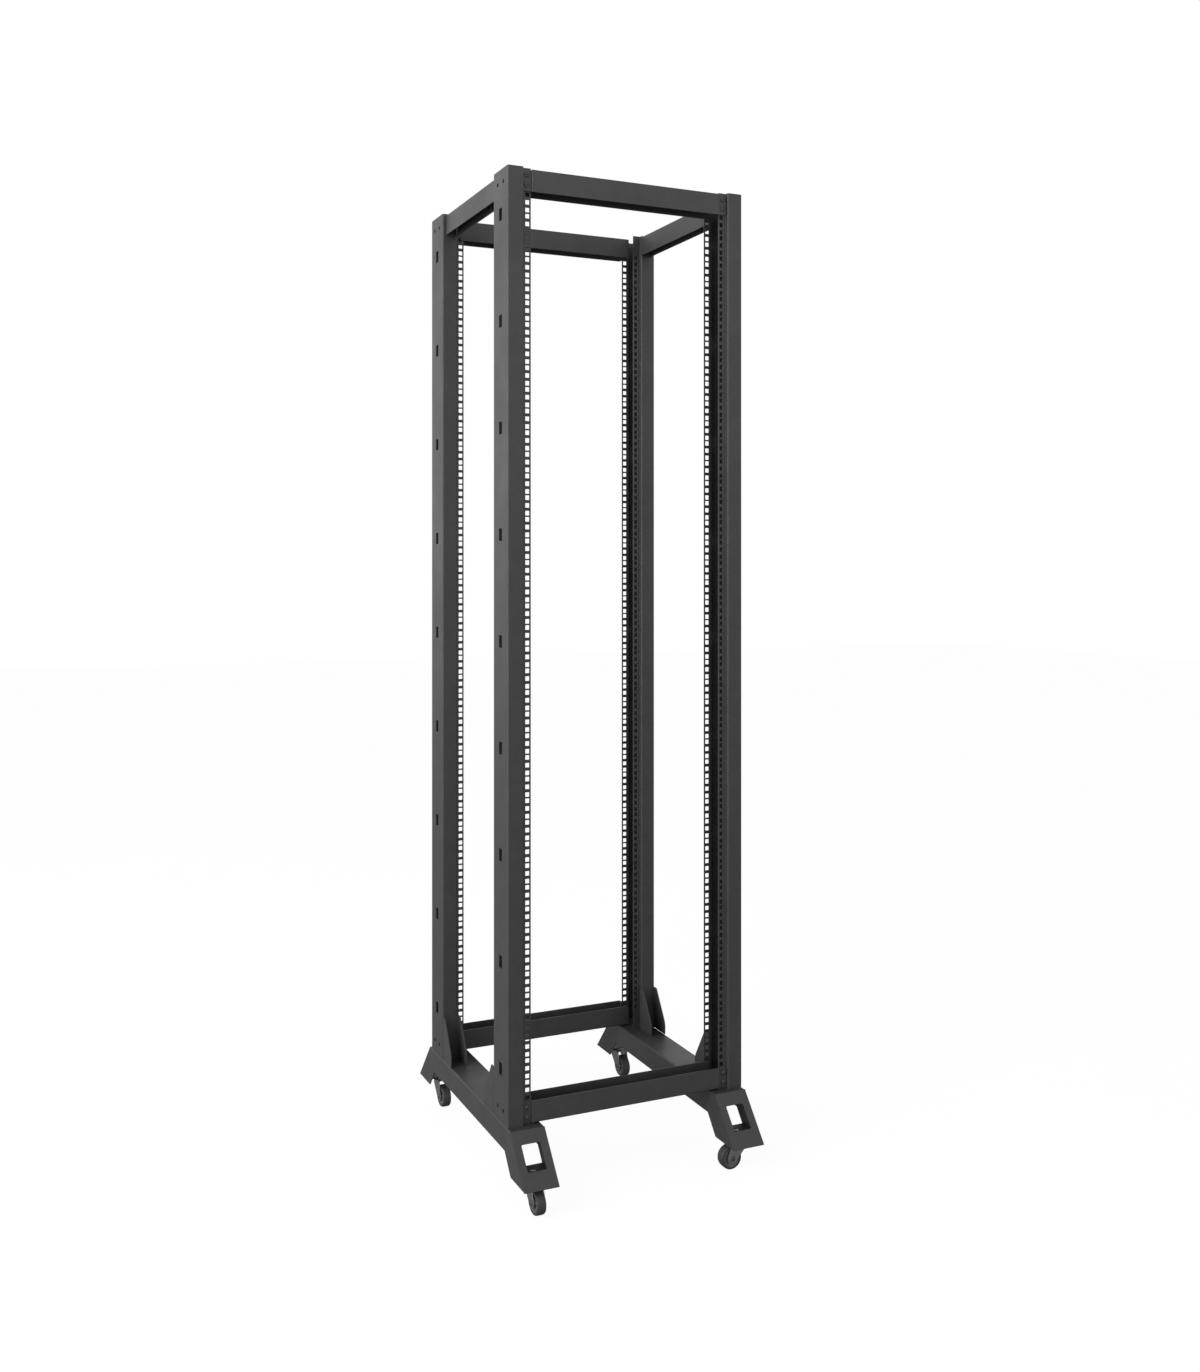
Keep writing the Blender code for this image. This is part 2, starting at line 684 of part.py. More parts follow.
for corner, (side_x, side_y, heading) in CORNERS.items():
    make_post(f"post_{corner}", side_x, side_y)
    make_foot_plate(f"foot_plate_{corner}", side_x, side_y)
    make_mount_plate(f"caster_mount_{corner}", side_x, side_y)
    make_gusset(f"gusset_{corner}", side_x, side_y)
    make_caster(corner, side_x, side_y, heading)
    for tag, offset in zip(("outer", "inner"), BOLT_FROM_END):
        make_bolt(f"rail_bolt_top_{corner}_{tag}", side_x, side_y, POST_TOP - offset)
        make_bolt(f"rail_bolt_bottom_{corner}_{tag}", side_x, side_y, POST_BOTTOM + offset)

# round parts are shaded smooth, with their edges kept sharp
for piece in RACK.objects:
    if piece.type == "MESH" and piece.name.startswith(("caster_", "rail_bolt")):
        piece.data.shade_smooth()
        piece.data.set_sharp_from_angle(angle=math.radians(35))

bpy.context.view_layer.update()
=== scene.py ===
"""An open four-post 19-inch rack on four casters, built over its CAD frame.

The rack stands upright on Z = 0, with its front to -Y and its left side to -X. Sizes are in
millimetres unless a comment says otherwise; MILLI turns them into scene units.
"""

import json
import math

import bmesh
import bpy
from mathutils import Matrix, Vector


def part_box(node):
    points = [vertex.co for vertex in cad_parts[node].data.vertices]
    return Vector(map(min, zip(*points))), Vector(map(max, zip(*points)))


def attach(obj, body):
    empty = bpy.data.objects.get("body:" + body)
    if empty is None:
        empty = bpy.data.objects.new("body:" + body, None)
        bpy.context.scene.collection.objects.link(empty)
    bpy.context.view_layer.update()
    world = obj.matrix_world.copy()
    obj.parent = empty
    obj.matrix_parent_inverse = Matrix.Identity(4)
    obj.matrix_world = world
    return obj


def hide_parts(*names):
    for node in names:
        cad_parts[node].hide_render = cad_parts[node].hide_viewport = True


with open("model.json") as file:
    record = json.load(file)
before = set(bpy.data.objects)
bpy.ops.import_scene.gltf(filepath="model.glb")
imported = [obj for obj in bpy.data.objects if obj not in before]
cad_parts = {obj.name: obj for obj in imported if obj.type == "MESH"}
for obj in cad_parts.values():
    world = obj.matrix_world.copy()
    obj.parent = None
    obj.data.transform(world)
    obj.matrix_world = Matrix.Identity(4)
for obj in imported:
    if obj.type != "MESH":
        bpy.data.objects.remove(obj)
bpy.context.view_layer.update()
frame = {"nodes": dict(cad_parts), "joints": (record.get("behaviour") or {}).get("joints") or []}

MILLI = 0.001
COAT_SLOT, BOLT_SLOT, ZINC_SLOT, FORK_SLOT, RIM_SLOT, TYRE_SLOT = (
    "powder_coat", "bolt_steel", "zinc_steel", "fork_steel", "wheel_plastic", "wheel_tread",
)


def box_mm(node):
    low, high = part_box(node)
    return [v * 1000 for v in low], [v * 1000 for v in high]


# ------------------------------------------------------------------ sizes
# Signs of X and Y at each corner.
CORNERS = {
    "front_left": (-1, -1), "front_right": (1, -1), "rear_left": (-1, 1), "rear_right": (1, 1),
}

# Posts
post_low, post_high = box_mm("post_front_right")
HALF_WIDTH = post_high[0]
HALF_DEPTH = -post_low[1]
POST_FOOT, POST_TOP = post_low[2], post_high[2]
POST_DEPTH = post_high[1] - post_low[1]
POST_REACH = post_high[0] - post_low[0]
POST_SHEET = 2.0
FACE_WIDTH = 36.0  # outer side to the step down to the mounting flange
FLANGE_SETBACK = 8.0
POST_BEND, POST_BEND_STEPS = 2.2, 4

# Rails
rail_low, rail_high = box_mm("bottom_rail_front")
RAIL_HEIGHT = rail_high[2] - rail_low[2]
RAIL_GAP = rail_low[2] - POST_FOOT
RAIL_SETBACK, RAIL_SHEET = 1.0, 2.0
RAIL_HALF = 224.5
NECK = 220.5  # half the length of a cross rail's outward wall, where its tabs start
SEAT_GAP = 0.3
SEAT_Y = HALF_DEPTH - FLANGE_SETBACK + SEAT_GAP  # |Y| of the tabs' inner faces

# Holes in the posts
UNITS, UNIT = 42, 44.45
EDGE_HOLE = 6.35  # from a unit's edge to its nearest hole
HOLE_LINE = 465.1 / 2  # |X| of the square holes
HOLE_SIZE = 9.5
clear_low = POST_FOOT + RAIL_GAP + RAIL_HEIGHT
clear_high = POST_TOP - RAIL_GAP - RAIL_HEIGHT
first_unit = (clear_low + clear_high - UNITS * UNIT) / 2
HOLE_Z = [
    first_unit + u * UNIT + h for u in range(UNITS) for h in (EDGE_HOLE, UNIT / 2, UNIT - EDGE_HOLE)
]
SLOT_Z = [POST_TOP - 92.0 - i * 220.0 for i in range(9)]
SLOT_WIDTH, SLOT_HEIGHT = 16.0, 26.0
ROUND_HOLE_RADIUS = 4.5
ROUND_HOLE_FROM_END = 28.0
ROUND_HOLE_DEPTHS = (23.0, 53.0)  # in from the post's front or rear face

# Base beams and feet
BASE_TOP = box_mm("base_beam_left")[1][2]
beam_low, beam_high = box_mm("base_beam_right")
BEAM_WIDTH = beam_high[0] - beam_low[0]
BEAM_SHEET, BEAM_BEND = 2.5, 2.6
FOOT_TOP, FOOT_TIP = 242.0, 315.0  # |Y| of the sloped plate at its upper and lower end
DROP = 91.0
FOOT_RUN = FOOT_TIP - FOOT_TOP
FOOT_LENGTH = math.hypot(FOOT_RUN, DROP)
FOOT_SEAT = BEAM_SHEET * FOOT_LENGTH / DROP + 0.3  # plate thickness along Y, and a gap
BEAM_ARCH = 50.0  # depth of the beam's walls between the feet

# Casters
TYRE_RADIUS = 25.0
FORK_SHEET, FORK_INSIDE, FORK_UNDERSIDE = 2.5, 22.6, 60.0
FORK_OUTSIDE = FORK_INSIDE / 2 + FORK_SHEET  # half width
FORK_BACK, FORK_FRONT = -14.0, 22.0  # ends of the fork's top, along the trail from the swivel

# Screws
SCREW_X = 235.5
SCREW_OFFSETS = {"outer": 15.0, "inner": 35.0}  # from the post's end
HEAD_RADIUS, HEAD_HEIGHT = 5.0, 3.1
SOCKET_RADIUS, SOCKET_DEPTH = 2.05, 2.0  # the radius is to the hexagon's corners
SHANK_RADIUS, SHANK_LENGTH = 3.0, 9.0
HEAD_GAP = 0.05
SCREW_STEPS = 36


# ------------------------------------------------------------------ node helpers
def new_material(name):
    made = bpy.data.materials.new(name)
    made.use_nodes = True
    tree = made.node_tree
    tree.nodes.clear()
    out = tree.nodes.new("ShaderNodeOutputMaterial")
    shader = tree.nodes.new("ShaderNodeBsdfPrincipled")
    tree.links.new(shader.outputs["BSDF"], out.inputs["Surface"])
    return made, tree, shader


def coords(tree, scale=(1, 1, 1)):
    where = tree.nodes.new("ShaderNodeTexCoord")
    mapping = tree.nodes.new("ShaderNodeMapping")
    mapping.inputs["Scale"].default_value = scale
    tree.links.new(where.outputs["Object"], mapping.inputs["Vector"])
    return mapping.outputs["Vector"]


def noise(tree, vector, scale, detail, rough):
    made = tree.nodes.new("ShaderNodeTexNoise")
    made.inputs["Scale"].default_value = scale
    made.inputs["Detail"].default_value = detail
    made.inputs["Roughness"].default_value = rough
    tree.links.new(vector, made.inputs["Vector"])
    return made.outputs["Fac"]


def spread(tree, value, low, high, from_low=0.3, from_high=0.7):
    """Maps from_low..from_high to low..high; the defaults are the middle band of a noise."""
    made = tree.nodes.new("ShaderNodeMapRange")
    made.inputs["From Min"].default_value = from_low
    made.inputs["From Max"].default_value = from_high
    made.inputs["To Min"].default_value = low
    made.inputs["To Max"].default_value = high
    tree.links.new(value, made.inputs["Value"])
    return made.outputs["Result"]


def blend_colour(tree, factor, first, second):
    made = tree.nodes.new("ShaderNodeMix")
    made.data_type = "RGBA"
    tree.links.new(factor, made.inputs["Factor"])
    for socket, value in ((made.inputs["A"], first), (made.inputs["B"], second)):
        if isinstance(value, tuple):
            socket.default_value = (*value, 1.0)
        else:
            tree.links.new(value, socket)
    return made.outputs["Result"]


def add_values(tree, first, second, operation="ADD"):
    made = tree.nodes.new("ShaderNodeMath")
    made.operation = operation
    tree.links.new(first, made.inputs[0])
    if isinstance(second, float):
        made.inputs[1].default_value = second
    else:
        tree.links.new(second, made.inputs[1])
    return made.outputs["Value"]


def bump(tree, height, strength, distance, below=None):
    """A bump of the given height in metres, on top of another one if below is given."""
    made = tree.nodes.new("ShaderNodeBump")
    made.inputs["Strength"].default_value = strength
    made.inputs["Distance"].default_value = distance
    tree.links.new(height, made.inputs["Height"])
    if below is not None:
        tree.links.new(below, made.inputs["Normal"])
    return made.outputs["Normal"]


# ------------------------------------------------------------------ materials
def powder_coat(name, dark, light, rough_low, rough_high):
    """Matte black powder coat: fine orange peel, faint mottling and cloudy sheen."""
    made, tree, shader = new_material(name)
    at = coords(tree)
    mottle = noise(tree, at, scale=26.0, detail=4.0, rough=0.6)
    speck = noise(tree, at, scale=2600.0, detail=2.0, rough=0.5)
    cloud = noise(tree, at, scale=7.0, detail=3.0, rough=0.5)
    base = blend_colour(tree, spread(tree, mottle, 0.0, 1.0), dark, light)
    specks = spread(tree, speck, low=0.0, high=0.30, from_low=0.50, from_high=0.80)
    speck_gain = 1.9  # specks are this much brighter than the light shade
    base = blend_colour(tree, specks, base, tuple(v * speck_gain for v in light))
    tree.links.new(base, shader.inputs["Base Color"])
    sheen = add_values(
        tree,
        spread(tree, cloud, rough_low, rough_high),
        spread(tree, speck, low=-0.03, high=0.03),
    )
    tree.links.new(sheen, shader.inputs["Roughness"])
    peel = noise(tree, at, scale=760.0, detail=2.0, rough=0.45)
    grain = noise(tree, at, scale=3200.0, detail=1.0, rough=0.5)
    under = bump(tree, peel, strength=0.20, distance=0.00035)
    normal = bump(tree, grain, strength=0.14, distance=0.00008, below=under)
    tree.links.new(normal, shader.inputs["Normal"])
    shader.inputs["IOR"].default_value = 1.5
    return made


def metal(name, dark, light, rough_low, rough_high, stretch, metallic=1.0):
    """Metal with fine lines, drawn out where stretch is small, and faint cloudy patches."""
    made, tree, shader = new_material(name)
    lines = noise(tree, coords(tree, stretch), scale=1500.0, detail=3.0, rough=0.6)
    cloud = noise(tree, coords(tree), scale=90.0, detail=3.0, rough=0.5)
    base = blend_colour(tree, spread(tree, cloud, 0.0, 1.0), dark, light)
    tree.links.new(base, shader.inputs["Base Color"])
    tree.links.new(spread(tree, lines, rough_low, rough_high), shader.inputs["Roughness"])
    normal = bump(tree, lines, strength=0.12, distance=0.00006)
    tree.links.new(normal, shader.inputs["Normal"])
    shader.inputs["Metallic"].default_value = metallic
    return made


def moulded(name, dark, light, rough_low, rough_high, grain_scale, grain_strength, scuff=None):
    """Moulded plastic or rubber: a fine grain, slight shade drift and optional scuffed patches."""
    made, tree, shader = new_material(name)
    at = coords(tree)
    grain = noise(tree, at, grain_scale, detail=2.0, rough=0.5)
    cloud = noise(tree, at, scale=60.0, detail=3.0, rough=0.5)
    base = blend_colour(tree, spread(tree, cloud, 0.0, 1.0), dark, light)
    if scuff:
        rubbed = noise(tree, coords(tree, (1.0, 1.0, 2.5)), scale=210.0, detail=4.0, rough=0.65)
        patches = spread(tree, rubbed, low=0.0, high=0.55, from_low=0.56, from_high=0.72)
        base = blend_colour(tree, patches, base, scuff)
    tree.links.new(base, shader.inputs["Base Color"])
    tree.links.new(spread(tree, cloud, rough_low, rough_high), shader.inputs["Roughness"])
    normal = bump(tree, grain, grain_strength, distance=0.00012)
    tree.links.new(normal, shader.inputs["Normal"])
    return made


COAT = powder_coat(
    "black_powder_coat", dark=(0.021, 0.021, 0.022), light=(0.028, 0.028, 0.029),
    rough_low=0.46, rough_high=0.58,
)
# A darker, rougher copy of the coat: its darker colour is painted shade for the caster plates under
# the feet.
COAT_PAINTED_SHADE = powder_coat(
    "black_powder_coat_painted_shade", dark=(0.019, 0.019, 0.020), light=(0.024, 0.024, 0.025),
    rough_low=0.5, rough_high=0.62,
)
BOLT_STEEL = metal(
    "black_oxide_steel", dark=(0.040, 0.040, 0.042), light=(0.062, 0.062, 0.065),
    rough_low=0.42, rough_high=0.56, stretch=(1, 1, 1), metallic=0.25,
)
ZINC = metal(
    "zinc_plated_steel", dark=(0.34, 0.34, 0.35), light=(0.46, 0.46, 0.46),
    rough_low=0.26, rough_high=0.44, stretch=(1, 1, 0.1),
)
AXLE_STEEL = metal(
    "dark_axle_steel", dark=(0.05, 0.05, 0.052), light=(0.09, 0.09, 0.092),
    rough_low=0.36, rough_high=0.5, stretch=(1, 1, 0.1), metallic=0.6,
)
FORK_STEEL = metal(
    "plated_fork_steel", dark=(0.22, 0.22, 0.225), light=(0.31, 0.31, 0.315),
    rough_low=0.30, rough_high=0.46, stretch=(1, 1, 0.12),
)
RIM_PLASTIC = moulded(
    "moulded_rim_plastic", dark=(0.07, 0.07, 0.072), light=(0.10, 0.10, 0.102),
    rough_low=0.42, rough_high=0.55, grain_scale=1900.0, grain_strength=0.2,
)
TYRE_RUBBER = moulded(
    "tyre_rubber", dark=(0.016, 0.016, 0.017), light=(0.026, 0.026, 0.027),
    rough_low=0.55, rough_high=0.70, grain_scale=2300.0, grain_strength=0.25,
    scuff=(0.06, 0.06, 0.058),
)


# ------------------------------------------------------------------ mesh helpers
def object_of(name, data):
    obj = bpy.data.objects.new(name, data)
    bpy.context.scene.collection.objects.link(obj)
    return obj


def object_from(name, build):
    """A new object from a bmesh, which is freed."""
    mesh = bpy.data.meshes.new(name)
    build.to_mesh(mesh)
    build.free()
    return object_of(name, mesh)


def place_mm(x, y, z):
    return Matrix.Translation(Vector((x, y, z)) * MILLI)


def finish_piece(obj, material, body, replaced=(), angle=32.0, weighted=True):
    """Applies the modifiers, shades by angle and puts the piece on its body."""
    bpy.context.view_layer.update()
    graph = bpy.context.evaluated_depsgraph_get()
    mesh = bpy.data.meshes.new_from_object(obj.evaluated_get(graph))
    mesh.name = obj.name
    tools = [m.object for m in obj.modifiers if m.type == "BOOLEAN"]
    obj.modifiers.clear()
    for tool in tools:
        bpy.data.objects.remove(tool, do_unlink=True)
    if obj.type == "MESH":
        obj.data = mesh
    else:  # a curve object can't hold a mesh, so a new object takes its name and place
        name, placed = obj.name, obj.matrix_world.copy()
        bpy.data.objects.remove(obj, do_unlink=True)
        obj = object_of(name, mesh)
        obj.matrix_world = placed
    build = bmesh.new()
    build.from_mesh(mesh)
    bmesh.ops.remove_doubles(build, verts=build.verts, dist=1e-6)
    bmesh.ops.recalc_face_normals(build, faces=build.faces)
    build.to_mesh(mesh)
    build.free()
    mesh.materials.clear()
    mesh.materials.append(material)
    for polygon in mesh.polygons:
        polygon.material_index = 0
    mesh.shade_smooth()
    mesh.set_sharp_from_angle(angle=math.radians(angle))
    if weighted:
        modifier = obj.modifiers.new("flat_faces_stay_flat", "WEIGHTED_NORMAL")
        modifier.keep_sharp = True
        modifier.weight = 100
    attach(obj, body)
    if replaced:
        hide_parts(*replaced)


def finish_coated(obj, *replaced):
    finish_piece(obj, COAT, "frame", replaced)


def break_edges(obj, width):
    bevel = obj.modifiers.new("edges", "BEVEL")
    bevel.width = width * MILLI
    bevel.segments = 2
    bevel.limit_method = "ANGLE"
    bevel.angle_limit = math.radians(50)


def folded(name, columns, thickness, holes=None, edge=0.0):
    """A bent sheet. Columns are lists of 3-D points on its middle surface, each joined to the
    next; holes maps a column's index to a test on height for the cells cut after it."""
    build = bmesh.new()
    verts = [[build.verts.new([v * MILLI for v in p]) for p in column] for column in columns]
    for i, (near, far) in enumerate(zip(verts, verts[1:])):
        if holes and i in holes:
            for k in range(len(near) - 1):
                middle = (columns[i][k][2] + columns[i][k + 1][2]) / 2
                if not holes[i](middle):
                    build.faces.new((near[k], far[k], far[k + 1], near[k + 1]))
        else:
            build.faces.new([*far, *reversed(near)])
    obj = object_from(name, build)
    solid = obj.modifiers.new("thickness", "SOLIDIFY")
    solid.thickness = thickness * MILLI
    solid.offset = 0.0
    solid.use_even_offset = True
    if edge:
        break_edges(obj, edge)
    return obj


def rounded_path(corners, radius, steps=4):
    """Points along a polyline with its inner corners rounded, steps + 1 points to a corner."""
    out = [Vector(corners[0])]
    for before, corner, after in zip(corners, corners[1:], corners[2:]):
        before, corner, after = Vector(before), Vector(corner), Vector(after)
        back, ahead = (before - corner).normalized(), (after - corner).normalized()
        half = back.angle(ahead) / 2
        reach = radius / math.tan(half)
        centre = corner + (back + ahead).normalized() * (radius / math.sin(half))
        start, end = corner + back * reach - centre, corner + ahead * reach - centre
        sweep = start.angle(end)
        for i in range(steps + 1):
            t = i / steps
            arm = start * math.sin((1 - t) * sweep) + end * math.sin(t * sweep)
            out.append(centre + arm / math.sin(sweep))
    out.append(Vector(corners[-1]))
    return out


def add_ring(build, radii, z):
    """Evenly turned points about Z, one for each radius."""
    steps = len(radii)
    return [
        build.verts.new((
            radius * MILLI * math.cos(2 * math.pi * i / steps),
            radius * MILLI * math.sin(2 * math.pi * i / steps),
            z * MILLI,
        ))
        for i, radius in enumerate(radii)
    ]


def bridge(build, lower, upper):
    """Faces between two rings, either of which may be a single point."""
    steps = max(len(lower), len(upper))
    for i in range(steps):
        j = (i + 1) % steps
        loop = []
        for vert in (
            lower[i % len(lower)], lower[j % len(lower)],
            upper[j % len(upper)], upper[i % len(upper)],
        ):
            if vert not in loop:
                loop.append(vert)
        if len(loop) > 2:
            build.faces.new(loop)


def lathe(name, profile, steps, matrix, closed=False):
    """A turned piece about local Z. The profile is (radius, height)."""
    build = bmesh.new()
    rings = [add_ring(build, [r] * (steps if r else 1), z) for r, z in profile]
    pairs = list(zip(rings, rings[1:]))
    if closed:
        pairs.append((rings[-1], rings[0]))
    for lower, upper in pairs:
        bridge(build, lower, upper)
    bmesh.ops.recalc_face_normals(build, faces=build.faces)
    obj = object_from(name, build)
    obj.matrix_world = matrix
    return obj


def mirrored(half, *middle):
    """A profile made of one half, any points on the middle, and the half's mirror image."""
    return [*half, *middle, *[(r, -z) for r, z in reversed(half)]]


def arc(centre_x, centre_y, radius, start, end, steps):
    angles = [math.radians(start + (end - start) * i / steps) for i in range(steps + 1)]
    return [(centre_x + radius * math.cos(a), centre_y + radius * math.sin(a)) for a in angles]


def rounded_rect(x_low, y_low, x_high, y_high, radius, steps):
    left, right = x_low + radius, x_high - radius
    bottom, top = y_low + radius, y_high - radius
    return [
        *arc(right, top, radius, 0, 90, steps),
        *arc(left, top, radius, 90, 180, steps),
        *arc(left, bottom, radius, 180, 270, steps),
        *arc(right, bottom, radius, 270, 360, steps),
    ]


def plate(name, loops, thickness, matrix, edge):
    """A flat plate with rounded rims, from 2-D outlines centred on its own plane."""
    curve = bpy.data.curves.new(name, "CURVE")
    curve.dimensions = "2D"
    curve.fill_mode = "BOTH"
    curve.extrude = (thickness / 2 - edge) * MILLI
    curve.bevel_depth = edge * MILLI
    curve.bevel_resolution = 1
    curve.offset = -edge * MILLI
    for loop in loops:
        spline = curve.splines.new("POLY")
        spline.points.add(len(loop) - 1)
        for point, (x, y) in zip(spline.points, loop):
            point.co = (x * MILLI, y * MILLI, 0.0, 1.0)
        spline.use_cyclic_u = True
    obj = object_of(name, curve)
    obj.matrix_world = matrix
    return obj


# ------------------------------------------------------------------ posts
def drill(obj, centres):
    """Round holes along X through a sheet."""
    build = bmesh.new()
    for centre in centres:
        bmesh.ops.create_cone(
            build, cap_ends=True, segments=28, depth=8 * MILLI,
            radius1=ROUND_HOLE_RADIUS * MILLI, radius2=ROUND_HOLE_RADIUS * MILLI,
            matrix=place_mm(*centre) @ Matrix.Rotation(math.radians(90), 4, "Y"),
        )
    cut = obj.modifiers.new("round_holes", "BOOLEAN")
    cut.operation = "DIFFERENCE"
    cut.solver = "EXACT"
    cut.object = object_from(obj.name + "_drill", build)


def cut_rows(heights, size):
    """Row heights of a column along a line of openings, ends included."""
    edges = [z + sign * size / 2 for z in heights for sign in (-1, 1)]
    return sorted({POST_FOOT, POST_TOP, *edges})


def inside_cut(heights, size):
    """A test that tells whether a height lies in one of the openings."""
    return lambda z: min(abs(z - h) for h in heights) < size / 2 - 0.1


def make_post(corner, side_x, side_y):
    # The section is (distance in from the outer side, distance in from the front or rear face).
    mid = POST_SHEET / 2
    step, flange = FACE_WIDTH - mid, FLANGE_SETBACK + mid
    far_face, far_flange = POST_DEPTH - mid, POST_DEPTH - flange
    corners = [
        (POST_REACH, flange), (step, flange), (step, mid), (mid, mid),
        (mid, far_face), (step, far_face), (step, far_flange), (POST_REACH, far_flange),
    ]
    path = rounded_path(corners, POST_BEND, POST_BEND_STEPS)
    points = [(tuple(p), (POST_FOOT, POST_TOP)) for p in path]
    hole_rows = cut_rows(HOLE_Z, HOLE_SIZE)
    slot_rows = cut_rows(SLOT_Z, SLOT_HEIGHT)
    hole_at = HALF_WIDTH - HOLE_LINE
    hole_near, hole_far = hole_at - HOLE_SIZE / 2, hole_at + HOLE_SIZE / 2
    middle = POST_DEPTH / 2
    # Path indexes where the outer web and the last flange start.
    web, last = 3 * (POST_BEND_STEPS + 1), 6 * (POST_BEND_STEPS + 1)

    # Added from the far end, so that earlier indexes stay right.
    points[last + 1:last + 1] = [
        ((hole_near, far_flange), hole_rows), ((hole_far, far_flange), hole_rows),
    ]
    points[web + 1:web + 1] = [
        ((mid, middle - SLOT_WIDTH / 2), slot_rows), ((mid, middle + SLOT_WIDTH / 2), slot_rows),
    ]
    points[1:1] = [((hole_far, flange), hole_rows), ((hole_near, flange), hole_rows)]
    columns = [
        [(side_x * (HALF_WIDTH - across), side_y * (HALF_DEPTH - deep), z) for z in rows]
        for (across, deep), rows in points
    ]
    in_hole = inside_cut(HOLE_Z, HOLE_SIZE)
    # Each pair added before a run moves it on by two.
    holes = {1: in_hole, web + 3: inside_cut(SLOT_Z, SLOT_HEIGHT), last + 5: in_hole}
    obj = folded(f"post_sheet_{corner}", columns, POST_SHEET, holes)
    drill(obj, [
        (side_x * HALF_WIDTH, side_y * (HALF_DEPTH - deep), z)
        for z in (POST_FOOT + ROUND_HOLE_FROM_END, POST_TOP - ROUND_HOLE_FROM_END)
        for deep in ROUND_HOLE_DEPTHS
    ])
    finish_coated(obj, f"post_{corner}")


for corner, signs in CORNERS.items():
    make_post(corner, *signs)


# ------------------------------------------------------------------ rails
def make_channel(name, node, axis, web_on_top, first=None):
    """A folded channel along an axis (0 is X, 1 is Y) in its CAD node's box; first is half the
    length of its first wall, if shorter."""
    low, high = box_mm(node)
    mid = RAIL_SHEET / 2
    across = 1 - axis
    open_z, web_z = (low[2], high[2] - mid) if web_on_top else (high[2], low[2] + mid)
    near, far = low[across] + mid, high[across] - mid
    if axis == 0 and low[1] > 0:
        near, far = far, near  # the wall that faces out comes first
    corners = [(near, open_z), (near, web_z), (far, web_z), (far, open_z)]
    half = RAIL_HALF if axis == 0 else high[1]
    columns = []
    for k, (side, z) in enumerate(rounded_path(corners, radius=2.4, steps=5)):
        # The shorter wall includes the first half of its bend.
        reach = first if first and k < 4 else half
        if axis == 0:
            columns.append([(-reach, side, z), (reach, side, z)])
        else:
            columns.append([(side, -reach, z), (side, reach, z)])
    finish_coated(folded(name, columns, RAIL_SHEET, edge=0.35), node)


def make_tab(name, node, side_x, side_y):
    """Joggled end of a cross rail that lies on the mounting flange."""
    low, high = box_mm(node)
    face = HALF_DEPTH - RAIL_SETBACK - RAIL_SHEET / 2
    seat = SEAT_Y + RAIL_SHEET / 2
    joggle = RAIL_HALF - 1.1
    tip = HALF_WIDTH - FACE_WIDTH - 0.3
    corners = [(NECK, face), (joggle, face), (joggle, seat), (tip, seat)]
    columns = []
    for k, (x, y) in enumerate(rounded_path(corners, radius=1.25)):
        inset = 0.0 if k == 0 else 1.0 if k > 6 else 0.5  # narrower towards the tip
        columns.append(
            [(side_x * x, side_y * y, low[2] + inset), (side_x * x, side_y * y, high[2] - inset)]
        )
    finish_coated(folded(name, columns, RAIL_SHEET, edge=0.35))


for level in ("top", "bottom"):
    for end, side_y in (("front", -1), ("rear", 1)):
        node = f"{level}_rail_{end}"
        make_channel(f"{level}_channel_{end}", node, 0, level == "top", NECK)
        for side, side_x in (("left", -1), ("right", 1)):
            make_tab(f"{level}_tab_{end}_{side}", node, side_x, side_y)
for side in ("left", "right"):
    make_channel(f"top_channel_{side}", f"top_rail_{side}", 1, True)


# ------------------------------------------------------------------ base beams
def beam_end(z):
    """|Y| of a beam's end at height z from the beam's top, just inside the foot plate."""
    return FOOT_TOP + FOOT_RUN * -z / DROP - FOOT_SEAT


def make_beam(side, side_x):
    mid = BEAM_SHEET / 2
    outer, inner = HALF_WIDTH - mid, HALF_WIDTH - BEAM_WIDTH + mid
    # The path's two end points only give it a direction; the walls' lower edge replaces them.
    path = rounded_path([(outer, -60.0), (outer, -mid), (inner, -mid), (inner, -60.0)], BEAM_BEND)
    tip = beam_end(-DROP)
    # (Y, height from the beam's top) of a wall's lower edge
    lower_edge = [
        (-tip, -DROP), (-244.0, -DROP), (-213.0, -BEAM_ARCH),
        (213.0, -BEAM_ARCH), (244.0, -DROP), (tip, -DROP),
    ]
    columns = [[(side_x * outer, y, BASE_TOP + z) for y, z in lower_edge]]
    for x, z in path[1:-1]:
        columns.append([(side_x * x, y, BASE_TOP + z) for y in (-beam_end(z), beam_end(z))])
    columns.append([(side_x * inner, y, BASE_TOP + z) for y, z in lower_edge])
    obj = folded(f"beam_sheet_{side}", columns, BEAM_SHEET, edge=0.45)
    finish_coated(obj, f"base_beam_{side}")


make_beam("left", -1)
make_beam("right", 1)


# ------------------------------------------------------------------ feet, gussets, caster plates
def make_foot_plate(corner, side_x, side_y):
    """Sloped plate with a window, closing the end of a base beam."""
    half = BEAM_WIDTH / 2
    window_at = FOOT_LENGTH * 0.465  # down the slope
    window_half_width, window_half_height = 21.0, 26.5
    outline = rounded_rect(-half, 0.0, half, FOOT_LENGTH, radius=1.2, steps=2)
    window = rounded_rect(
        -window_half_width, window_at - window_half_height,
        window_half_width, window_at + window_half_height, radius=3.0, steps=4,
    )
    # local X along the rack's X, local Y down the slope, local Z out of the plate
    down = Vector((0.0, side_y * FOOT_RUN, -DROP)).normalized()
    right = Vector((1.0, 0.0, 0.0))
    out = right.cross(down) * side_y
    turn = Matrix((right, down, out)).transposed().to_4x4()
    top = Vector((side_x * (HALF_WIDTH - half), side_y * FOOT_TOP, BASE_TOP))
    matrix = place_mm(*(top - out * (BEAM_SHEET / 2))) @ turn
    obj = plate(f"foot_sheet_{corner}", [outline, window], BEAM_SHEET, matrix, edge=0.5)
    finish_coated(obj, f"foot_plate_{corner}")


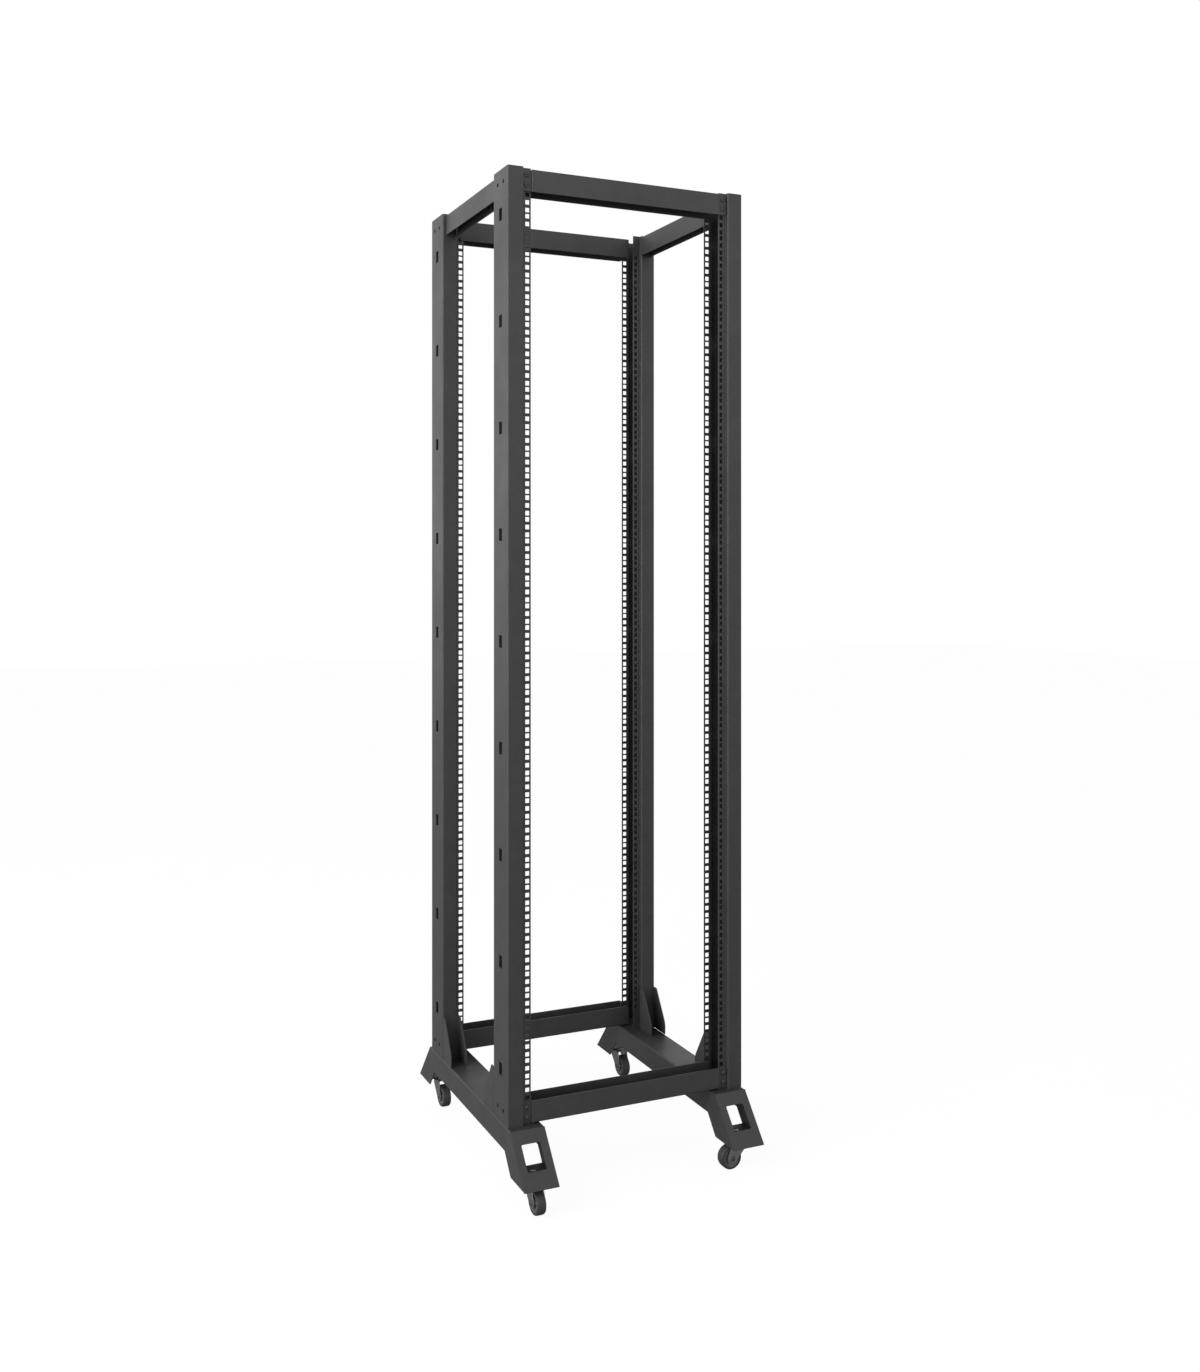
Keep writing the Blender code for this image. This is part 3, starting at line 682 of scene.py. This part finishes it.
def make_gusset(corner, side_x, side_y):
    """Bracket of three walls on the inward side of a post's foot."""
    node = f"gusset_{corner}"
    low, high = box_mm(node)
    mid = BEAM_SHEET / 2
    face = HALF_DEPTH - POST_DEPTH - 0.05
    outer = HALF_WIDTH - mid
    inner = HALF_WIDTH - (high[0] - low[0]) + mid
    base, top = low[2], high[2]
    tip = face - (high[1] - low[1])
    # (|Y|, Z) of a side wall's free edge
    edge = [(tip, base), (tip, base + 22), (tip + 3, base + 32), (face - 12, top)]
    corners = [(outer, tip), (outer, face - mid), (inner, face - mid), (inner, tip)]
    path = rounded_path(corners, BEAM_BEND)
    columns = [[(side_x * outer, side_y * y, z) for y, z in edge]]
    for x, y in path[1:-1]:
        columns.append([(side_x * x, side_y * y, z) for z in (base, top)])
    columns.append([(side_x * inner, side_y * y, z) for y, z in edge])
    finish_coated(folded(f"gusset_sheet_{corner}", columns, BEAM_SHEET, edge=0.45), node)


def keep_plate(node):
    """A CAD node whose shape is right keeps it, with broken edges and a darker copy of the coat,
    painted shade for where it sits under the foot.
    """
    obj = frame["nodes"][node]
    obj.data.materials.clear()
    obj.data.materials.append(COAT_PAINTED_SHADE)
    weld = obj.modifiers.new("weld", "WELD")
    weld.merge_threshold = 0.00001
    break_edges(obj, 0.35)


for corner, signs in CORNERS.items():
    make_foot_plate(corner, *signs)
    make_gusset(corner, *signs)
    keep_plate(f"caster_mount_{corner}")


# ------------------------------------------------------------------ casters
# Turned profiles are (radius, height). The wheel's are halves, with heights from its middle.
CROWN = [
    (0, 60.6), (16.0, 60.6), (19.0, 60.2), (20.4, 60.6), (20.9, 61.6), (20.4, 62.7),
    (18.6, 63.0), (15.5, 62.6), (12.0, 63.1), (0, 63.1),
]
# Heights from the fork's outer face
AXLE_HEAD = [(0, 2.5), (2.0, 2.4), (3.8, 2.0), (5.0, 1.2), (5.4, 0.6), (5.4, 0.15), (4.0, 0.15)]
RIM = [
    (4.1, 10.9), (6.6, 10.9), (7.4, 10.3), (7.7, 8.6), (8.6, 7.4), (13.4, 6.6),
    (14.3, 6.9), (15.0, 8.4), (16.0, 9.3), (18.4, 9.4), (18.7, 9.0),
]
TREAD = [
    (18.75, 9.3), (20.4, 9.9), (22.2, 10.0), (23.6, 9.4), (24.5, 8.1), (24.9, 6.2),
    (TYRE_RADIUS, 3.0),
]


def make_swivel(corner, here):
    """Swivel race, pressed in two rings, and the stem end peened over the plate."""
    low, high = box_mm(f"caster_mount_{corner}")
    under, over = low[2], high[2]
    profile = [
        (0, under - 0.2), (20.6, under - 0.2), (21.8, under - 0.7), (22, under - 1.8),
        (21.9, 66.4), (21.2, 65.6), (20.2, 65.4), (19.6, 64.6), (20.0, 63.9), (18.8, 63.5),
        (0, 63.5),
    ]
    race = lathe(f"swivel_race_{corner}", profile, 48, here)
    finish_piece(race, ZINC, "frame", [f"caster_stem_{corner}"])
    profile = [
        (0, over + 2.3), (3.0, over + 2.2), (5.6, over + 1.8), (7.0, over + 0.9),
        (7.2, over + 0.1), (5.0, over + 0.05), (5.0, over - 1.5), (0, over - 1.5),
    ]
    finish_piece(lathe(f"stem_end_{corner}", profile, 32, here), ZINC, "frame")


def make_fork(corner, here, trail):
    """One bent strip, its legs rounded about the axle, under a dished crown."""
    body = f"fork_{corner}"
    side = FORK_INSIDE / 2 + FORK_SHEET / 2
    top = FORK_UNDERSIDE + FORK_SHEET / 2
    # (along the trail, height) of a leg's lower edge
    lobe = arc(trail, TYRE_RADIUS, 11.6, start=200, end=375, steps=14)
    leg = [(FORK_BACK, 52.0), (-13.4, 46.0), *lobe, (24.0, 46.0), (FORK_FRONT, 52.0)]
    path = rounded_path([(side, 40.0), (side, top), (-side, top), (-side, 40.0)], radius=3.0)
    columns = [[(x, side, z) for x, z in leg]]
    for y, z in path[1:-1]:
        columns.append([(FORK_BACK, y, z), (FORK_FRONT, y, z)])
    columns.append([(x, -side, z) for x, z in leg])
    strip = folded(f"fork_strip_{corner}", columns, FORK_SHEET, edge=0.5)
    strip.matrix_world = here
    finish_piece(strip, FORK_STEEL, body, [f"caster_fork_{corner}"])
    finish_piece(lathe(f"fork_crown_{corner}", CROWN, 48, here), FORK_STEEL, body)


def make_axle(corner, across):
    """Axle peened into a low dome on both sides."""
    profile = mirrored([(r, FORK_OUTSIDE + z) for r, z in AXLE_HEAD])
    bolt = lathe(f"axle_bolt_{corner}", profile, 32, across)
    finish_piece(bolt, AXLE_STEEL, f"fork_{corner}", [f"caster_axle_{corner}"])


def make_wheel(corner, across):
    """Rim with a stepped hub, and a crowned tyre."""
    for part, profile, steps, material, slot in (
        ("rim", mirrored(RIM), 56, RIM_PLASTIC, RIM_SLOT),
        ("tyre", mirrored(TREAD, (TYRE_RADIUS, 0.0)), 72, TYRE_RUBBER, TYRE_SLOT),
    ):
        obj = lathe(f"wheel_{part}_{corner}", profile, steps, across, closed=True)
        replaced = [f"caster_{part}_{corner}"]
        finish_piece(obj, material, f"wheel_{corner}", replaced, weighted=False)


joints = {joint["name"]: Vector(joint["pos_m"]) * 1000 for joint in frame["joints"]}
for corner in CORNERS:
    swivel = joints[f"swivel_{corner}"]
    offset = joints[f"wheel_spin_{corner}"] - swivel
    offset.z = 0
    heading = math.atan2(offset.y, offset.x)
    # On the floor under the swivel, with local X towards the axle
    here = place_mm(swivel.x, swivel.y, 0) @ Matrix.Rotation(heading, 4, "Z")
    # At the wheel's centre, with local Z along the axle
    across = (
        here @ place_mm(offset.length, 0, TYRE_RADIUS) @ Matrix.Rotation(math.radians(-90), 4, "X")
    )
    make_swivel(corner, here)
    make_fork(corner, here, offset.length)
    make_axle(corner, across)
    make_wheel(corner, across)


# ------------------------------------------------------------------ screws
# (share of the head's radius, height) of the dome
HEAD_DOME = [(0.93, 1.75), (0.78, 2.5), (0.58, 3.0 * HEAD_HEIGHT / 3.3), (0.5, HEAD_HEIGHT)]


def hexagon_radii():
    """Distances from the centre to a hexagon's edge, one for each step of the turn."""
    sixth = math.pi / 3
    turns = [2 * math.pi * i / SCREW_STEPS % sixth - sixth / 2 for i in range(SCREW_STEPS)]
    return [SOCKET_RADIUS * math.cos(sixth / 2) / math.cos(turn) for turn in turns]


def make_screw(name, matrix, replaced):
    """Button-head socket screw; local Z points out of the sheet it sits on."""
    build = bmesh.new()
    profile = [
        (HEAD_RADIUS - 0.15, HEAD_GAP), (HEAD_RADIUS, 0.35), (HEAD_RADIUS, 0.95),
        *[(HEAD_RADIUS * share, z) for share, z in HEAD_DOME],
    ]
    head = [add_ring(build, [r] * SCREW_STEPS, z) for r, z in profile]
    for z in (HEAD_HEIGHT, HEAD_HEIGHT - SOCKET_DEPTH):
        head.append(add_ring(build, hexagon_radii(), z))
    neck, tip = [
        add_ring(build, [SHANK_RADIUS] * SCREW_STEPS, z) for z in (HEAD_GAP, -SHANK_LENGTH)
    ]
    for lower, upper in zip(head, head[1:]):
        bridge(build, lower, upper)
    build.faces.new(list(reversed(head[-1])))  # socket floor
    bridge(build, neck, head[0])
    bridge(build, tip, neck)
    build.faces.new(list(reversed(tip)))
    bmesh.ops.recalc_face_normals(build, faces=build.faces)
    obj = object_from(name, build)
    obj.matrix_world = matrix
    finish_piece(obj, BOLT_STEEL, "frame", [replaced], angle=38)


for corner, (side_x, side_y) in CORNERS.items():
    outward = Matrix.Rotation(math.radians(-90 * side_y), 4, "X")
    for end, end_z, inward in (("top", POST_TOP, -1), ("bottom", POST_FOOT, 1)):
        for tag, offset in SCREW_OFFSETS.items():
            seat = place_mm(
                side_x * SCREW_X, side_y * (SEAT_Y + RAIL_SHEET), end_z + inward * offset
            )
            make_screw(
                f"rail_screw_{end}_{corner}_{tag}", seat @ outward,
                f"rail_bolt_{end}_{corner}_{tag}",
            )

# ------------------------------------------------------------------ stage, in metres
scene = bpy.context.scene
scene.view_settings.view_transform = "Standard"
scene.view_settings.look = "None"
scene.view_settings.exposure = 0.0
scene.view_settings.gamma = 1.0

EVEN_SKY = 1.22
LEFT_SKY = {"low": 0.05, "high": 0.0, "from_low": -1.0, "from_high": 0.4}  # along X
# Strength added to the sky along an axis: towards the rear, overhead, and towards the front
SKY_TERMS = (
    ("Y", {"low": 0.0, "high": 0.15, "from_low": -0.1, "from_high": 1.0}),
    ("Z", {"low": 0.0, "high": -0.85, "from_low": 0.25, "from_high": 1.0}),
    ("Y", {"low": 0.07, "high": 0.0, "from_low": -1.0, "from_high": 0.1}),
)


def make_world():
    """A graded white sky for lighting; the camera sees plain white."""
    world = bpy.data.worlds.new("studio")
    scene.world = world
    world.use_nodes = True
    tree = world.node_tree
    tree.nodes.clear()
    out = tree.nodes.new("ShaderNodeOutputWorld")
    light = tree.nodes.new("ShaderNodeBackground")
    seen = tree.nodes.new("ShaderNodeBackground")
    mix = tree.nodes.new("ShaderNodeMixShader")
    rays = tree.nodes.new("ShaderNodeLightPath")
    where = tree.nodes.new("ShaderNodeTexCoord")
    split = tree.nodes.new("ShaderNodeSeparateXYZ")
    light.inputs["Color"].default_value = (1, 1, 1, 1)
    seen.inputs["Color"].default_value = (1, 1, 1, 1)
    seen.inputs["Strength"].default_value = 1.0
    tree.links.new(where.outputs["Generated"], split.inputs["Vector"])
    total = add_values(tree, spread(tree, split.outputs["X"], **LEFT_SKY), EVEN_SKY)
    for axis, ramp in SKY_TERMS:
        total = add_values(tree, total, spread(tree, split.outputs[axis], **ramp))
    tree.links.new(total, light.inputs["Strength"])
    tree.links.new(rays.outputs["Is Camera Ray"], mix.inputs["Fac"])
    tree.links.new(light.outputs["Background"], mix.inputs[1])
    tree.links.new(seen.outputs["Background"], mix.inputs[2])
    tree.links.new(mix.outputs["Shader"], out.inputs["Surface"])


def softbox(name, at, look_at, size, watts):
    light = bpy.data.lights.new(name, "AREA")
    light.shape = "RECTANGLE"
    light.size, light.size_y = size
    light.energy = watts
    obj = object_of(name, light)
    obj.location = at
    obj.rotation_euler = (Vector(look_at) - Vector(at)).to_track_quat("-Z", "Y").to_euler()
    obj.visible_camera = False


def make_floor():
    """A floor that is nearly white to the camera and mid grey to all other rays."""
    build = bmesh.new()
    bmesh.ops.create_grid(build, x_segments=1, y_segments=1, size=14.0)
    floor = object_from("floor", build)
    made, tree, shader = new_material("pale_floor")
    shade = noise(tree, coords(tree), scale=1.3, detail=2.0, rough=0.5)
    shade = spread(tree, shade, 0.0, 1.0)
    pale = blend_colour(tree, shade, (0.93, 0.93, 0.93), (0.96, 0.96, 0.96))
    seen = tree.nodes.new("ShaderNodeLightPath").outputs["Is Camera Ray"]
    base = blend_colour(tree, seen, (0.30, 0.30, 0.30), pale)
    tree.links.new(base, shader.inputs["Base Color"])
    shader.inputs["Roughness"].default_value = 0.85
    shader.inputs["Specular IOR Level"].default_value = 0.1
    glow = tree.nodes.new("ShaderNodeEmission")
    glow.inputs["Color"].default_value = (1, 1, 1, 1)
    glow.inputs["Strength"].default_value = 1.0
    over = tree.nodes.new("ShaderNodeMixShader")
    glow_share = 0.94  # how much of the floor the camera sees as plain white
    tree.links.new(add_values(tree, seen, glow_share, "MULTIPLY"), over.inputs["Fac"])
    tree.links.new(shader.outputs["BSDF"], over.inputs[1])
    tree.links.new(glow.outputs["Emission"], over.inputs[2])
    out = next(n for n in tree.nodes if n.type == "OUTPUT_MATERIAL")
    tree.links.new(over.outputs["Shader"], out.inputs["Surface"])
    floor.data.materials.append(made)


def make_camera():
    """A level camera with a shifted lens, to the front left of the rack."""
    data = bpy.data.cameras.new("camera")
    camera = object_of("camera", data)
    data.sensor_width = 36.0
    data.sensor_fit = "AUTO"
    data.lens = 32.738484
    data.shift_x = 0.08542274
    data.shift_y = -0.08808309
    data.clip_start, data.clip_end = 0.05, 60.0
    camera.location = (-1.2746, -2.5633, 1.2975)
    camera.rotation_euler = (math.radians(90), 0, -0.383)
    scene.camera = camera


make_world()
softbox("key_left", at=(-3.2, -0.9, 2.7), look_at=(0, 0, 1.3), size=(2.4, 2.4), watts=100.0)
softbox("low_left", at=(-3.4, -1.0, 0.9), look_at=(0, 0, 0.4), size=(2.0, 1.4), watts=45.0)
softbox("fill_front", at=(1.0, -4.4, 3.3), look_at=(0, 0, 1.2), size=(2.8, 2.2), watts=5.0)
make_floor()
make_camera()
